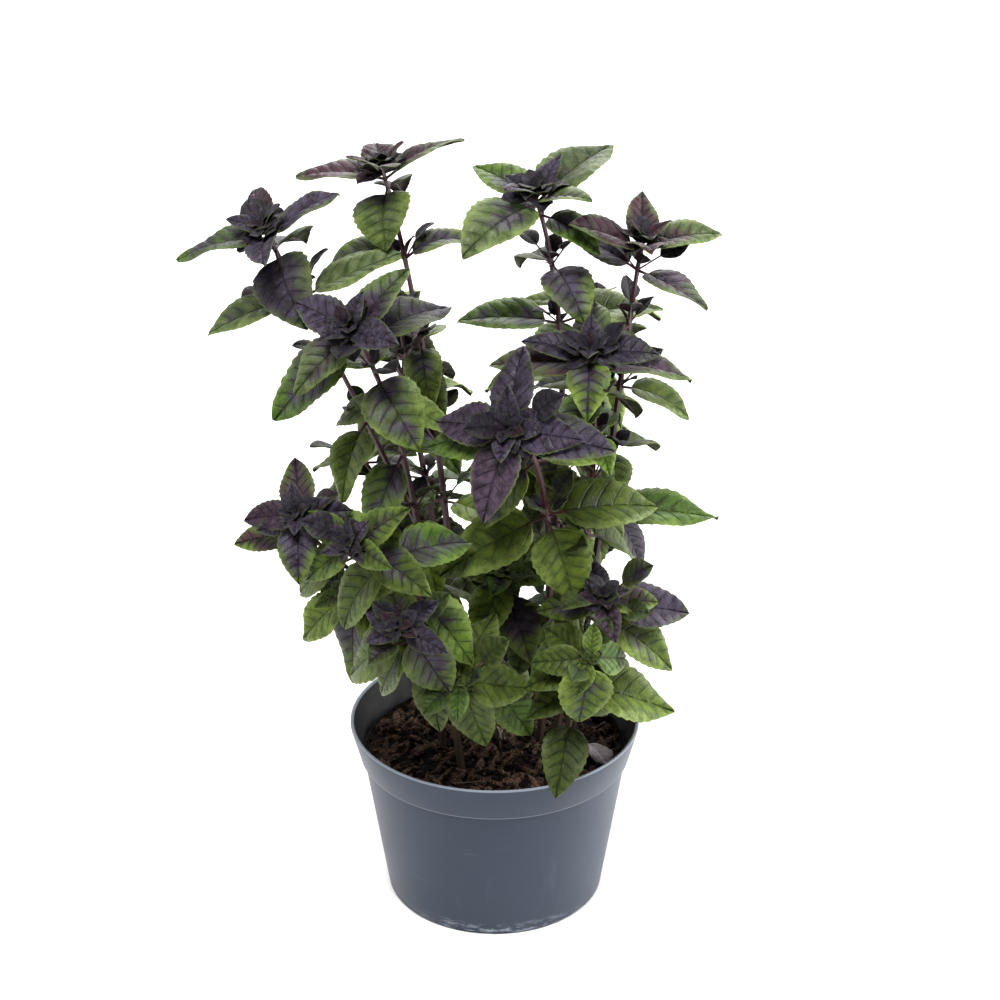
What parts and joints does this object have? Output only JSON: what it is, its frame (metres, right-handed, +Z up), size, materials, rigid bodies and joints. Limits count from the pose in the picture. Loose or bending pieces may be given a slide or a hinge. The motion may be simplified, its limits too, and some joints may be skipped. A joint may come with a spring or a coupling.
{
  "type": "potted basil plant",
  "caption": "Bushy purple-tipped basil with toothed leaves in pairs on upright stems, growing in a tapered plastic nursery pot filled with soil.",
  "frame": {"origin": "middle of the pot's underside, on the surface it stands on", "axes": "+Z up, along the pot's axis; -Y towards the viewer of the picture; +X to the viewer's right"},
  "size_m": [0.3312, 0.28, 0.5],
  "materials": {
    "pot": "satin",
    "soil": "matte",
    "leaf": "satin",
    "young_leaf": "satin",
    "dried_leaf": "matte"
  },
  "bodies": {
    "root": {"pot": "pot", "soil": "soil", "fallen_leaf": "dried_leaf", "stem_left_back": "leaf", "stem_left_front": "leaf", "stem_front_left": "leaf", "stem_front_middle": "leaf", "stem_right_back": "leaf", "stem_right": "leaf", "stem_right_front": "leaf", "stem_front_right": "leaf", "stem_middle": "leaf", "stem_far_left": "leaf", "stem_far_right": "leaf", "head_left_back": "young_leaf", "head_left_back_2": "young_leaf", "head_left_front": "young_leaf", "head_left_front_2": "young_leaf", "head_left_front_3": "young_leaf", "head_front_left": "young_leaf", "head_front_left_2": "young_leaf", "head_front_left_3": "young_leaf", "head_front_middle": "young_leaf", "head_front_middle_2": "young_leaf", "head_right_back": "young_leaf", "head_right_back_2": "young_leaf", "head_right": "young_leaf", "head_right_front": "young_leaf", "head_right_front_2": "young_leaf", "head_front_right": "young_leaf", "head_middle": "young_leaf", "head_far_left": "young_leaf", "head_far_left_2": "young_leaf", "head_far_left_3": "young_leaf", "head_far_right": "young_leaf", "head_far_right_2": "young_leaf", "head_far_right_3": "young_leaf"}
  },
  "joints": []
}
